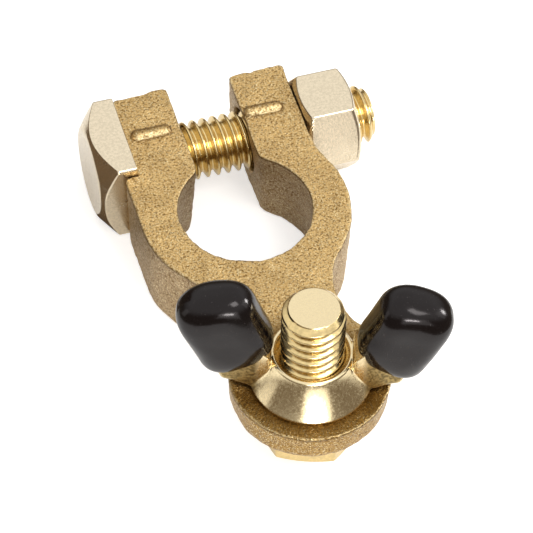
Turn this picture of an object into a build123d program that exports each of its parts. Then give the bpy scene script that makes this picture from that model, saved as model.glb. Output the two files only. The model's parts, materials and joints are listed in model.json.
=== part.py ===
from build123d import *
import math
import os

# Battery-post ground clamp with a lug stud, in millimetres.
# Frame: the post bore's axis is Z and the casting's top face is Z = 0, the ears point along +Y and the stud pad
# lies along -Y. The pinch bolt runs along X, with its head at -X and its nut at +X.

# ---- Casting ----
casting_height = 11.9
bore_radius = 8.73  # straight land at the top of the bore, 11/16 in across
bore_land = 3.0
bore_bottom_radius = 9.4  # the bore flares below the land, for a tapered post
ring_wall = 5.05  # at the top face
ring_draft = 2.0  # degrees, outer walls lean in towards the bottom
gap_width = 8.4  # between the ears, at the top face
gap_draft = 3.0  # degrees, the gap opens towards the bottom
ear_thickness = 7.7
ear_end = 7.25  # from the pinch bolt's axis to the ears' back faces
shoulder_corner_radius = 1.2
cast_edge_radius = 0.5

# ---- Ribs on top of the ears ----
rib_radius = 1.0
rib_end_margin = 1.1  # from the end of a rib in the ear's middle to the ear's side
rib_rise = 0.7
left_rib_shift = -0.2  # along X, from the ear's middle
right_rib_shift = -0.8

# ---- Neck and stud pad ----
stud_distance = 28.1  # from the post bore's axis to the stud's axis
pad_radius = 10.1  # at the top face
pad_offset = 0.45  # the pad's centre lies this much nearer to the ring than the stud does
pad_draft = 4.0  # degrees
pad_lower_edge_radius = 1.2
pad_thickness = 4.8
neck_side_radius = 10.8  # concave sides, tangent to the ring and to the pad

# ---- Pinch bolt and nut, 5/16-18 UNC, 1/2 in across flats ----
thread_radius = 3.97
thread_chamfer = 0.8
thread_clearance = 0.05  # radial, between a nut's bore and its bolt
pinch_axis_past_ring = 1.8  # from the ring's outer wall to the pinch bolt's axis, along Y
pinch_axis_depth = 5.2  # below the top face
pinch_hole_clearance = 0.45  # radial
pinch_bolt_length = 33.9  # below the head
square_head_width = 13.0
square_head_height = 4.95
square_head_face_radius = 6.0  # flat circle inside the head's conical chamfer
square_head_chamfer = 38.0  # degrees
head_shoulder_clearance = 0.1
nut_width = 12.7
nut_height = 7.25
nut_turn = 3.0  # degrees about X
nut_face_radius = 5.9
hex_chamfer = 30.0  # degrees, on the hex nut and the hex head
nut_seat_clearance = 0.6  # radial, around the nut's corners

# ---- Stud bolt, the same thread, pushed up through the pad ----
stud_length = 18.5  # below the head
stud_hole_clearance = 0.2  # radial
hex_head_width = 12.7
hex_head_height = 4.9
hex_head_turn = -21.0  # degrees about Z
hex_head_face_radius = 5.9

# ---- Wing nut. Its walls are radial, out from the thread's bore ----
wing_turn = -18.0  # degrees about Z, direction of the right wing
base_wall = 3.58
base_rim = 0.5
collar_wall = 1.38
collar_height = 5.3
countersink_width = 0.68
wing_thickness = 3.4
wing_root_clearance = 0.58  # the wings start inside the cone, clear of the thread
wing_foot_height = 0.3
wing_foot_rise = 3.2

# ---- Wing caps: a raked paddle, its corners as (distance from the thread's bore, height above the pad) ----
cap_inner_bottom = (0.18, 6.2)
cap_outer_bottom = (8.33, 1.3)
cap_outer_top = (13.93, 14.7)
cap_inner_top = (4.48, 17.3)
cap_thickness = 6.5
cap_wall = 1.3
cap_corner_radius = 3.0
cap_edge_radius = 1.9

# ---- Sizes that follow from the ones above ----
ring_radius = bore_radius + ring_wall
ear_outer_x = gap_width / 2 + ear_thickness
pinch_axis_y = ring_radius + pinch_axis_past_ring
ear_back_y = pinch_axis_y + ear_end
shoulder_y = pinch_axis_y - square_head_width / 2 - head_shoulder_clearance
pad_distance = stud_distance - pad_offset
nut_bore_radius = thread_radius + thread_clearance
rib_length = ear_thickness - 2 * rib_end_margin
base_radius = nut_bore_radius + base_wall
cap_points = (cap_inner_bottom, cap_outer_bottom, cap_outer_top, cap_inner_top)
cap_corners = [(nut_bore_radius + out, up) for out, up in cap_points]

UP = (Align.CENTER, Align.CENTER, Align.MIN)
DOWN = (Align.CENTER, Align.CENTER, Align.MAX)


def drafted_disc(top_radius, depth, draft):
    """Round slab under the top face, whose wall leans in towards the bottom."""
    bottom_radius = top_radius - depth * math.tan(math.radians(draft))
    return Cone(bottom_radius, top_radius, depth, align=DOWN)


def along_x(x, shape):
    """Stand a +Z shape on the pinch bolt's axis at x, pointing to +X."""
    return Pos(x, pinch_axis_y, -pinch_axis_depth) * Rot(0, 90, 0) * shape


def chamfer_cone(face_radius, height, angle):
    """Cone that trims a head's or nut's corners down to a round face at the given height."""
    reach = 2 * height
    foot_radius = face_radius + reach / math.tan(math.radians(angle))
    return Pos(0, 0, height - reach) * Cone(foot_radius, face_radius, reach, align=UP)


def shank(length):
    """Threaded length, as a plain cylinder over the thread's crests, with a chamfered end."""
    body = Cylinder(thread_radius, length, align=UP)
    return chamfer(body.edges().sort_by(Axis.Z)[-1], thread_chamfer)


def neck():
    """Web between the ring and the pad, with concave sides tangent to both."""
    to_ring = ring_radius + neck_side_radius
    to_pad = pad_radius + neck_side_radius
    along = (to_ring**2 - to_pad**2 + pad_distance**2) / (2 * pad_distance)
    across = math.sqrt(to_ring**2 - along**2)
    outline = Polygon((0, 0), (-across, -along), (0, -pad_distance), (across, -along), align=None)
    web = extrude(outline, -pad_thickness)
    widen = pad_thickness * math.tan(math.radians(ring_draft))
    hollow = Cone(neck_side_radius + widen, neck_side_radius, pad_thickness, align=DOWN)
    for x in (-across, across):
        web -= Pos(x, -along, 0) * hollow
    return web


def ear(side):
    """One ear, with its rounded back corners."""
    block = Box(ear_thickness, ear_back_y, casting_height, align=(Align.CENTER, Align.MIN, Align.MAX))
    block = fillet(block.edges().filter_by(Axis.Z).group_by(Axis.Y)[-1], cast_edge_radius)
    return Pos(side * (gap_width + ear_thickness) / 2, 0, 0) * block


def shoulder():
    """Straight wall along the ring's left side, up to the step that the square head's flat lies against."""
    foot = ring_radius - casting_height * math.tan(math.radians(ring_draft))
    section = Polygon((0, 0), (-ring_radius, 0), (-foot, -casting_height), (0, -casting_height), align=None)
    block = extrude(Plane.XZ * section, -shoulder_y)
    corner = block.edges().group_by(Axis.Y)[-1].sort_by(Axis.X)[0]
    return fillet(corner, shoulder_corner_radius)


def rib(side, shift):
    """Raised rib with round ends on top of an ear, over the pinch bolt."""
    straight = rib_length - 2 * rib_radius
    bar = Rot(0, 90, 0) * Cylinder(rib_radius, straight)
    for x in (-straight / 2, straight / 2):
        bar += Pos(x, 0, 0) * Sphere(rib_radius)
    centre_x = side * (gap_width + ear_thickness) / 2 + shift
    return Pos(centre_x, pinch_axis_y, rib_rise - rib_radius) * bar


def make_clamp_body():
    """Cast split ring with two ears, an anti-turn shoulder for the square head, a neck and a stud pad."""
    body = drafted_disc(ring_radius, casting_height, ring_draft)
    for side in (-1, 1):
        body += ear(side)
    body += shoulder()
    body += neck()
    pad = drafted_disc(pad_radius, pad_thickness, pad_draft)
    pad = fillet(pad.edges().sort_by(Axis.Z)[0], pad_lower_edge_radius)
    body += Pos(0, -pad_distance, 0) * pad

    # the square head's seat, flat against the left ear, and the hex nut's round seat on the right ear
    head_space = Box(ring_radius, 2 * ear_back_y, 2 * casting_height, align=(Align.MAX, Align.MIN, Align.CENTER))
    body -= Pos(-ear_outer_x, shoulder_y, -casting_height / 2) * head_space
    nut_corner = nut_width / 2 / math.cos(math.pi / 6)
    body -= along_x(ear_outer_x, Cylinder(nut_corner + nut_seat_clearance, ring_radius, align=UP))

    # the post bore: a straight land, then a flare down to the bottom face
    flare_height = casting_height - bore_land
    body -= Pos(0, 0, -casting_height) * Cone(bore_bottom_radius, bore_radius, flare_height, align=UP)
    body -= Cylinder(bore_radius, bore_land, align=DOWN)

    # the gap between the ears, wider at the bottom
    bottom_half = gap_width / 2 + casting_height * math.tan(math.radians(gap_draft))
    section = Plane.XZ * Polygon(
        (-gap_width / 2, 0),
        (-bottom_half, -casting_height),
        (bottom_half, -casting_height),
        (gap_width / 2, 0),
        align=None,
    )
    body -= extrude(section, -2 * ear_back_y)

    body += rib(-1, left_rib_shift) + rib(1, right_rib_shift)
    hole_length = 2 * (ear_outer_x + ring_radius)
    body -= along_x(0, Cylinder(thread_radius + pinch_hole_clearance, hole_length))
    body -= Pos(0, -stud_distance, 0) * Cylinder(thread_radius + stud_hole_clearance, casting_height, align=DOWN)
    return body


def make_pinch_bolt():
    """Square-head bolt through both ears; its head's front flat lies along the shoulder, so it can't turn."""
    head = Box(square_head_width, square_head_width, square_head_height, align=UP)
    head &= chamfer_cone(square_head_face_radius, square_head_height, square_head_chamfer)
    bolt = shank(pinch_bolt_length) + Rot(180, 0, 0) * head
    return along_x(-ear_outer_x, bolt)


def make_pinch_nut():
    """Hex nut, chamfered on both faces, with a flat nearly on top."""
    blank = extrude(RegularPolygon(nut_width / 2, 6, major_radius=False, rotation=30), nut_height)
    cone = chamfer_cone(nut_face_radius, nut_height, hex_chamfer)
    blank = blank & cone & (Pos(0, 0, nut_height) * Rot(180, 0, 0) * cone)
    blank -= Cylinder(nut_bore_radius, nut_height, align=UP)
    return along_x(ear_outer_x, Rot(0, 0, nut_turn) * blank)


def make_stud_bolt():
    """Hex-head bolt, head under the pad and thread standing up through it."""
    blank = extrude(RegularPolygon(hex_head_width / 2, 6, major_radius=False), hex_head_height)
    blank &= chamfer_cone(hex_head_face_radius, hex_head_height, hex_chamfer)
    head = Rot(0, 0, hex_head_turn) * Rot(180, 0, 0) * blank
    return Pos(0, -stud_distance, -pad_thickness) * (shank(stud_length) + head)


def on_stud(shape):
    """Move a piece from the wing nut's own frame, wings along X and seat at Z = 0, to the pad's top."""
    return Pos(0, -stud_distance, 0) * Rot(0, 0, wing_turn) * shape


def upright_plate(points, thickness, side):
    """Plate in the wings' plane, mirrored to the given side."""
    outline = Polygon(*[(side * x, z) for x, z in points], align=None)
    return extrude(Plane.XZ * outline, thickness / 2, both=True)


def paddle(side, inset):
    """The cap's outline, moved in by inset all round, as a plate with round corners."""
    plate = upright_plate(cap_corners, cap_thickness - 2 * inset, side)
    plate = fillet(plate.edges().filter_by(Axis.Y), cap_corner_radius)
    if inset == 0:
        return fillet(plate.edges().filter_by(Axis.Y, reverse=True), cap_edge_radius)
    face = plate.faces().sort_by(Axis.Y)[0]
    core = offset(face, -inset, kind=Kind.ARC)
    return extrude(core, cap_thickness - 2 * inset, dir=(0, 1, 0))


def make_wing_nut():
    """Brass wing nut: a flared base with a countersunk collar, and two wings on webs that reach down its sides."""
    profile = Plane.XZ * Polygon(
        (0, 0),
        (base_radius, 0),
        (base_radius, base_rim),
        (nut_bore_radius + collar_wall, collar_height),
        (0, collar_height),
        align=None,
    )
    nut = revolve(profile, Axis.Z)
    (inner_x, inner_z), (outer_x, outer_z) = cap_corners[:2]
    web = (
        (nut_bore_radius + wing_root_clearance, wing_foot_height),
        (base_radius, wing_foot_height),
        (outer_x - cap_wall, outer_z),
        (outer_x, outer_z + wing_foot_rise),
        (inner_x + cap_wall, inner_z + wing_foot_rise),
    )
    for side in (-1, 1):
        nut += upright_plate(web, wing_thickness, side) + paddle(side, cap_wall)
    nut -= Cylinder(nut_bore_radius, collar_height, align=UP)
    countersink_foot = Pos(0, 0, collar_height - countersink_width)
    sink_radius = nut_bore_radius + countersink_width
    nut -= countersink_foot * Cone(nut_bore_radius, sink_radius, countersink_width, align=UP)
    return nut


def make_wing_cap(side, nut):
    """Vinyl cap dipped over one wing."""
    return paddle(side, 0) - nut


wing_nut = make_wing_nut()
nodes = {
    "clamp_body": make_clamp_body(),
    "pinch_bolt": make_pinch_bolt(),
    "pinch_nut": make_pinch_nut(),
    "stud_bolt": make_stud_bolt(),
    "wing_nut": on_stud(wing_nut),
    "wing_cap_left": on_stud(make_wing_cap(-1, wing_nut)),
    "wing_cap_right": on_stud(make_wing_cap(1, wing_nut)),
}

os.makedirs("parts", exist_ok=True)
for name, shape in nodes.items():
    export_step(shape, f"parts/{name}.step")
    print(name, "solids", len(shape.solids()), "volume", round(shape.volume, 1))
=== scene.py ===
"""Brass battery-post ground clamp: a split ring closed by a pinch bolt, with a lug stud and a wing nut.

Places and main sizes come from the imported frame. Shapes are worked out in millimetres, meshes are in metres.
"""
import json
import math
from functools import partial
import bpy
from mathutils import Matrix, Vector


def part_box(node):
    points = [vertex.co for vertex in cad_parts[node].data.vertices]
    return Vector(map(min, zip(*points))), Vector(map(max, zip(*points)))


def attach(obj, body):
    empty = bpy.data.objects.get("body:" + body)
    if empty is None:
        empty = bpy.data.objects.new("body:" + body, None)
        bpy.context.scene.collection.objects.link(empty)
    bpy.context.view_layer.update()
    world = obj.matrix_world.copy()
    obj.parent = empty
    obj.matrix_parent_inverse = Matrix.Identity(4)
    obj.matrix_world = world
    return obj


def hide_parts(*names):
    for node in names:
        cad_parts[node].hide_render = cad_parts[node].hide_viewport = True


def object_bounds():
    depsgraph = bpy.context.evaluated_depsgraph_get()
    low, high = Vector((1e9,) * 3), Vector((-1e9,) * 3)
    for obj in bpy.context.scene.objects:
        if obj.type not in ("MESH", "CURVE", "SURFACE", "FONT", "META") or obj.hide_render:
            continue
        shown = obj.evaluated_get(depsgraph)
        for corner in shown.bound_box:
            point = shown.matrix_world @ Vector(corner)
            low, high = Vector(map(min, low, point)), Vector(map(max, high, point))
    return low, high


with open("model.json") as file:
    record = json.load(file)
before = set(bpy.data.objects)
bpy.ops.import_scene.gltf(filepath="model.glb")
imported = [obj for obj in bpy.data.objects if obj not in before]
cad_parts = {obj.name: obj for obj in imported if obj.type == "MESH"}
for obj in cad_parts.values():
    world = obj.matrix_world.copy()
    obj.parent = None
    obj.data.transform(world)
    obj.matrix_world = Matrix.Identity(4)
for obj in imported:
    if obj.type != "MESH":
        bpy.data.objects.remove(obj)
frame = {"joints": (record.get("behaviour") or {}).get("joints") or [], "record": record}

from types import SimpleNamespace

import bmesh
import bpy
import numpy as np
from bpy.props import FloatProperty, FloatVectorProperty, PointerProperty
from mathutils import Matrix, Vector

bl_info = {
    "name": "Battery-post ground clamp",
    "version": (1, 0, 0),
    "blender": (4, 5, 0),
    "location": "3D View > Sidebar > Ground clamp",
    "description": "Builds a cast brass clamp with its bolts, nuts and capped wing nut",
    "category": "Add Mesh",
}

CAD_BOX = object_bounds()
MM = 1000.0  # millimetres in a metre
TURN = 2 * math.pi
SENSOR_WIDTH = 36.0  # millimetres
TIP_SHARES = (0.0, 0.45, 0.85, 0.95)  # rows of a bolt's end, as shares of its radius


def box_mm(node):
    """Lowest and highest corner of a CAD node, in millimetres."""
    low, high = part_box(node)
    return np.array(low) * MM, np.array(high) * MM


JOINTS = {j["name"]: j for j in frame["joints"]}
MOUNTS = {m["name"]: m for m in frame["record"]["mounts"]}
COUPLINGS = {c["joint"]: c for c in frame["record"]["behaviour"]["couplings"]}
CASTING_LOW, CASTING_HIGH = box_mm("clamp_body")
BOLT_LOW, BOLT_HIGH = box_mm("pinch_bolt")
NUT_LOW, NUT_HIGH = box_mm("pinch_nut")
STUD_LOW, STUD_HIGH = box_mm("stud_bolt")
PINCH_SEAT, PINCH_Y, PINCH_Z = np.array(JOINTS["pinch_nut_turn"]["pos_m"]) * MM
STUD_Y = JOINTS["wing_nut_turn"]["pos_m"][1] * MM
PITCH = COUPLINGS["stud_drop"]["ratio"] * MM * TURN
THREAD_RADIUS = MOUNTS["stud_end"]["dims"]["r_mm"]
BORE_RADIUS = MOUNTS["post_bore"]["dims"]["r_mm"]
BORE_LAND = MOUNTS["post_bore"]["dims"]["length_mm"]


def linear(code):
    """An sRGB hex colour as linear red, green and blue."""
    shares = [int(code[i : i + 2], 16) / 255 for i in (1, 3, 5)]
    return tuple(c / 12.92 if c <= 0.04045 else ((c + 0.055) / 1.055) ** 2.4 for c in shares)


def length(name, millimetres, description):
    """A size that the user can change. Blender keeps it in metres."""
    return FloatProperty(
        name=name,
        description=description,
        default=millimetres / MM,
        subtype="DISTANCE",
        unit="LENGTH",
        precision=5,
    )


def angle(name, degrees, description):
    return FloatProperty(
        name=name, description=description, default=math.radians(degrees), subtype="ANGLE", unit="ROTATION"
    )


def number(name, value, description):
    return FloatProperty(name=name, description=description, default=value)


def colour(name, code, description):
    return FloatVectorProperty(
        name=name, description=description, default=linear(code), subtype="COLOR", size=3, min=0, max=1
    )


def values(group):
    """A property group's values, with its lengths in millimetres."""
    kinds = group.bl_rna.properties
    found = {k: getattr(group, k) for k in group.__annotations__}
    sizes = {k: v * MM for k, v in found.items() if kinds[k].subtype == "DISTANCE"}
    return SimpleNamespace(**(found | sizes))


# ---- Settings ----


class CastingSettings(bpy.types.PropertyGroup):
    ring_wall: length("Ring wall", 5.05, "Wall of the ring at the top face")
    ring_draft: angle("Ring draft", 2, "Lean of the ring's outer wall")
    bore_flare: length("Bore flare", 0.67, "How much wider the bore is at the bottom, in radius")
    gap_width: length("Gap", 8.4, "Gap between the ears at the top face")
    gap_draft: angle("Gap draft", 3, "Lean of the gap's walls")
    ear_end: length("Ear end", CASTING_HIGH[1] - PINCH_Y, "From the pinch bolt's axis to the ears' backs")
    ear_corner: length("Ear corner", 0.8, "Rounding of the ears' back corners")
    shoulder_y: length("Shoulder", PINCH_Y - 6.6, "Place along Y of the step that holds the square head")
    shoulder_corner: length("Shoulder corner", 1.3, "Rounding of the shoulder's corner")
    pad_radius: length("Pad radius", 10.1, "Radius of the stud pad at the top face")
    pad_draft: angle("Pad draft", 4, "Lean of the pad's wall")
    pad_lower_corner: length("Pad lower corner", 1.5, "Rounding of the pad's lower edge")
    pad_thickness: length("Pad thickness", 4.8, "Height of the pad and the neck")
    neck_side: length("Neck side", 10.8, "Radius of the neck's hollow sides")
    hole_clearance: length("Hole clearance", 0.45, "Gap round the pinch bolt in its holes")
    seat_radius: length("Nut seat", 7.93, "Radius of the hex nut's round seat")
    rib_radius: length("Rib radius", 1.0, "Radius of the half-round ribs on the ears")
    rib_length: length("Rib length", 5.5, "Length of each rib")
    rib_rise: length("Rib rise", 0.7, "Height of the ribs above the top face")
    casting_corner: length("Casting corner", 0.24, "Rounding of the cast edges")
    casting_fillet: length("Casting fillet", 0.6, "Hollow in the cast inside corners")
    ripple: length("Ripple", 0.022, "Height of the sand mould's unevenness")
    skin: length("Skin", 0.16, "Room for the unevenness at the bottom and the ears' backs")
    cell: length("Cell", 0.27, "Size of the cells that the surface is drawn on")


class FastenerSettings(bpy.types.PropertyGroup):
    thread_depth: length("Thread depth", 0.86, "Depth of the thread, from crest to root")
    thread_gap: length("Thread gap", 0.06, "Gap between a bolt's thread and its nut's")
    end_chamfer: length("End chamfer", 0.85, "Chamfer at the thread's end")
    square_face: length("Square head face", 6.0, "Radius of the square head's flat face")
    square_chamfer: angle("Square head chamfer", 38, "Angle of the square head's conical chamfer")
    hex_face: length("Hex face", 5.9, "Radius of the flat face of the nut and the hex head")
    hex_chamfer: angle("Hex chamfer", 30, "Angle of the hex nut's and hex head's chamfer")
    across_flats: length("Across flats", 12.7, "Width of the nut and the hex head")
    nut_turn: angle("Nut turn", 33, "Turn of the nut's first flat from +Y")
    head_turn: angle("Hex head turn", 9, "Turn of the hex head's first flat from +X")
    corner: length("Corner", 0.45, "Rounding of the hexagon's and the square's corners")


class WingNutSettings(bpy.types.PropertyGroup):
    wing_turn: angle("Wing turn", -18, "Direction of the right wing from +X")
    base_radius: length("Base radius", 7.6, "Radius of the base")
    base_rim: length("Base rim", 0.5, "Height of the base's upright rim")
    collar_radius: length("Collar radius", 5.15, "Radius of the collar's top")
    collar_height: length("Collar height", 5.3, "Height of the collar")
    countersink: length("Countersink", 4.7, "Radius of the countersink round the stud")
    wing_thickness: length("Wing thickness", 3.4, "Thickness of the webs below the caps")
    cap_thickness: length("Cap thickness", 6.5, "Thickness of the caps")
    cap_wall: length("Cap wall", 1.3, "Thickness of the vinyl")
    cap_corner: length("Cap corner", 3.2, "Rounding of the caps' outline")
    cap_top_corner: length("Cap top corner", 5.2, "Rounding of the caps' outer top corner")
    cap_edge: length("Cap edge", 3.0, "Rounding between the caps' faces and edges")
    right_shift: length("Right cap shift", 0.4, "How much further out the right cap sits")
    left_spread: number("Left cap spread", 1.06, "How much wider the left cap is")
    cell: length("Cell", 0.17, "Size of the cells that the surfaces are drawn on")


class ColourSettings(bpy.types.PropertyGroup):
    cast_brass: colour("Cast brass", "#D6B478", "Sand-cast brass on the top face")
    # The dark grains' colour. A darker copy of it also darkens the hollows and is the painted shade.
    cast_shade: colour("Cast brass, dark grains", "#6E4E20", "Dark grains and hollows in the cast skin")
    # The bright grains' colour, also used for edge wear and for the painted highlight on the ribs' front
    # slopes.
    cast_light: colour("Cast brass, bright grains", "#FFEFC0", "Bright grains in the cast skin")
    # Painted tone: the upright walls get this greyer, darker colour in place of the light they reflect.
    cast_wall: colour("Cast walls", "#B79E7A", "Duller skin of the walls")
    cast_pad: colour("Cast pad", "#AF8B4B", "Darker, rubbed skin of the stud pad")
    web_brass: colour("Web brass", "#A8915F", "Dull skin of the wing nut's webs, left as pressed")
    bolt_brass: colour("Bolt brass", "#E5D6BA", "Tumbled pale brass of the bolt head and the nut")
    thread_brass: colour("Thread brass", "#E8CE94", "Rolled thread's fresh brass")
    bright_brass: colour("Bright brass", "#EAD7AC", "Polished yellow brass")
    vinyl: colour("Vinyl", "#0E0A0A", "Dipped black vinyl")
    dust: colour("Dust", "#6B6663", "Dust specks on the vinyl")
    floor: colour("Floor", "#E4E3E1", "Paper floor")
    card: colour("Card", "#5E4E3C", "Brown cards beside the square head")
    card_fibre: colour("Card fibres", "#6A5844", "Lighter fibres of the cards")


class StageSettings(bpy.types.PropertyGroup):
    azimuth: angle("Azimuth", -18.523, "Camera's direction round the object, from -Y towards +X")
    elevation: angle("Elevation", 51.431, "Camera's height above the horizon")
    roll: angle("Roll", 2.0515, "Camera's turn about its own line of sight")
    distance: length("Distance", 408.2, "From the camera to the middle of the casting's bottom face")
    aside: length("Aside", 2.98, "Camera's place to the right of that line")
    above: length("Above", -0.16, "Camera's place above that line")
    lens: number("Lens", 208.63, "Focal length in millimetres, on a 36 mm sensor")
    floor_radius: length("Floor radius", 70, "Radius of the paper floor")
    key: number("Key light", 7.0, "Brightness of the key light high in front")
    front: number("Front light", 1.35, "Brightness of the wide softbox low in front")
    strip: number("Front strip", 36.0, "Brightness of the flat strip light low in front")
    lamp: number("Right lamp", 26.0, "Brightness of the small lamp on the right")
    side: number("Side light", 0.9, "Brightness of the side softboxes")
    ceiling: number("Ceiling", 1.1, "Brightness of the white ceiling")
    horizon: colour("Horizon", "#7A6E60", "Warm dark tone of the room low down")


GROUPS = {
    "clamp_casting": CastingSettings,
    "clamp_fasteners": FastenerSettings,
    "clamp_wing_nut": WingNutSettings,
    "clamp_colours": ColourSettings,
    "clamp_stage": StageSettings,
}


# ---- Fields: negative inside the shape, positive outside, about one per millimetre ----


def join(a, b, blend):
    """Union of two fields: min(a, b), lowered by blend * h * (1 - h) where they are within blend."""
    share = np.clip(0.5 + 0.5 * (b - a) / blend, 0, 1)
    return b + (a - b) * share - blend * share * (1 - share)


def cut(a, b, blend):
    """Overlap of two fields, with the edge between them rounded the same way."""
    return -join(-a, -b, blend)


def ripple(x, y, z, wavelength, seed, waves=14):
    """Sum of sine waves in random directions, with one mean wavelength, from about -1 to 1."""
    rng = np.random.default_rng(seed)
    total = 0.0
    for _ in range(waves):
        way = rng.standard_normal(3)
        way *= TURN / (wavelength * rng.uniform(0.6, 1.6) * np.linalg.norm(way))
        total = total + np.sin(way[0] * x + way[1] * y + way[2] * z + rng.uniform(0, TURN))
    return total / math.sqrt(waves)


def casting_field(x, y, z, s):
    """The casting: ring, ears, shoulder, neck and pad as upright walls, cut at the top face, then bored.

    Each wall is a distance from a circle or a line, moved inwards by depth * tan(draft).
    """
    soft_corner, rough_corner, gap_corner = 0.3, 0.5, 0.9
    depth = -z
    height = -CASTING_LOW[2] - s.skin
    radial = np.hypot(x, y)
    ring_radius = BORE_RADIUS + s.ring_wall
    ring_edge = ring_radius - depth * math.tan(s.ring_draft)
    ear_middle = (s.gap_width / 2 + PINCH_SEAT) / 2
    ear_half = PINCH_SEAT - ear_middle
    ear_back = PINCH_Y + s.ear_end - s.skin

    tall = radial - ring_edge
    for side in (-1, 1):
        ear = cut(np.abs(x - side * ear_middle) - ear_half, y - ear_back, s.ear_corner)
        tall = join(tall, np.maximum(ear, -y), s.casting_fillet)
    lump_x, lump_stretch, lump_radius, lump_inset = -5.6, 1.5, 1.15, 1.1
    lump = np.hypot((x - lump_x) / lump_stretch, y - ear_back + lump_inset) - lump_radius
    tall = join(tall, lump, rough_corner)
    shoulder = cut(-x - ring_edge, y - s.shoulder_y, s.shoulder_corner)
    tall = np.minimum(tall, np.maximum(shoulder, np.maximum(x, -y)))
    tall = cut(tall, -height - z, s.casting_corner)

    # neck: between two upright circles that touch the ring and the pad
    pad_offset = 0.45  # the pad's middle is a little behind the stud's
    pad_y = -STUD_Y - pad_offset
    to_ring = ring_radius + s.neck_side
    to_pad = s.pad_radius + s.neck_side
    along = (to_ring**2 - to_pad**2 + pad_y**2) / (2 * pad_y)
    across = math.sqrt(to_ring**2 - along**2)
    side_radius = s.neck_side + depth * math.tan(s.ring_draft)
    neck = side_radius - np.hypot(np.abs(x) - across, y + along)
    behind = (np.abs(x) * along + y * across) / math.hypot(along, across)
    ahead = (np.abs(x) - across) * (pad_y - along) - (y + along) * across
    neck = np.maximum(neck, np.maximum(behind, ahead / math.hypot(pad_y - along, across)))
    pad = np.hypot(x, y + pad_y) - (s.pad_radius - depth * math.tan(s.pad_draft))
    thin = cut(join(neck, pad, soft_corner), -s.pad_thickness - z, s.pad_lower_corner)
    body = cut(join(tall, thin, s.casting_fillet), z, s.casting_corner)

    # seats for the square head and the hex nut
    pinch = np.hypot(y - PINCH_Y, z - PINCH_Z)
    head_seat = np.maximum(x + PINCH_SEAT, s.shoulder_y - y)
    nut_seat = np.maximum(pinch - s.seat_radius, PINCH_SEAT - x)
    body = cut(body, -np.minimum(head_seat, nut_seat), s.casting_corner)

    # post bore and gap
    flare = np.clip((depth - BORE_LAND) / (height - BORE_LAND), 0, 1) * s.bore_flare
    bore = radial - BORE_RADIUS - flare
    gap = np.maximum(np.abs(x) - s.gap_width / 2 - depth * math.tan(s.gap_draft), -y)
    body = cut(body, -join(bore, gap, gap_corner), s.casting_corner)

    # ribs over the pinch bolt, each a little left of its ear's middle
    half = s.rib_length / 2 - s.rib_radius
    rib_blend, left_shift, right_shift = 0.08, -0.2, -0.95
    for side, shift in ((-1, left_shift), (1, right_shift)):
        middle = side * ear_middle + shift
        end = np.maximum(np.abs(x - middle) - half, 0)
        along_rib = np.sqrt(end**2 + (y - PINCH_Y) ** 2 + (z - s.rib_rise + s.rib_radius) ** 2)
        body = join(body, along_rib - s.rib_radius, rib_blend)

    # bolt holes, a notch in the right ear's back edge, and the sand's unevenness
    hole_corner, stud_clearance = 0.4, 0.2
    body = cut(body, THREAD_RADIUS + s.hole_clearance - pinch, hole_corner)
    body = cut(body, THREAD_RADIUS + stud_clearance - np.hypot(x, y - STUD_Y), soft_corner)
    notch_x, notch_outset, notch_radius = 7.4, 0.1, 0.35
    notch = np.hypot(x - notch_x, y - ear_back - notch_outset) - notch_radius
    body = cut(body, -notch, soft_corner)
    short_waves, long_waves = 1.1, 4.5
    body = body + s.ripple * ripple(x, y, z, short_waves, seed=4)
    return body + 2 * s.ripple * ripple(x, y, z, long_waves, seed=5)


def thread_radius(axial, around, f):
    """Radius of a 60 degree thread: crest - depth * (1 - flank).

    The flank falls from 1 at the crest to 0 at the root: part of a straight line, part of a smooth step.
    """
    flank_end, flank_width, smooth_share = 0.86, 0.72, 0.45
    from_crest = np.abs((axial / PITCH - around / TURN) % 1.0 - 0.5) * 2
    flank = np.clip((flank_end - from_crest) / flank_width, 0, 1)
    flank = (1 - smooth_share) * flank + smooth_share * flank * flank * (3 - 2 * flank)
    return THREAD_RADIUS - f.thread_depth * (1 - flank)


def nut_thread_radius(axial, around, f):
    """Radius of a nut's thread, clear of the bolt's thread all round, with its crests cut flat."""
    kept_depth = 0.6
    flat_crest = THREAD_RADIUS - kept_depth * f.thread_depth
    return np.maximum(thread_radius(axial, around, f) + f.thread_gap, flat_crest)


# A wing cap's outline, which leans outwards: (distance from the stud, height above the pad) in millimetres of
# its lower inner, lower outer, upper outer and upper inner corners.
CAP_OUTLINE = ((4.2, 6.2), (12.35, 1.3), (17.95, 14.7), (8.5, 17.3))


def edges(x, z, outline):
    """Distance outside each edge of an anticlockwise outline: a cross product with the edge's direction."""
    for (ax, az), (bx, bz) in zip(outline, outline[1:] + outline[:1]):
        yield ((x - ax) * (bz - az) - (z - az) * (bx - ax)) / math.hypot(bx - ax, bz - az)


def paddle_field(x, y, z, w, side, inset):
    """A raked paddle: the overlap of its outline's four half planes and of a plate, with round edges."""
    outline = None
    rounding = (w.cap_corner, w.cap_corner, w.cap_top_corner, w.cap_corner)
    for edge, size in zip(edges(side * x, z, CAP_OUTLINE), rounding):
        outline = edge if outline is None else cut(outline, edge, size)
    return cut(outline, np.abs(y) - w.cap_thickness / 2, w.cap_edge) + inset


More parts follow.
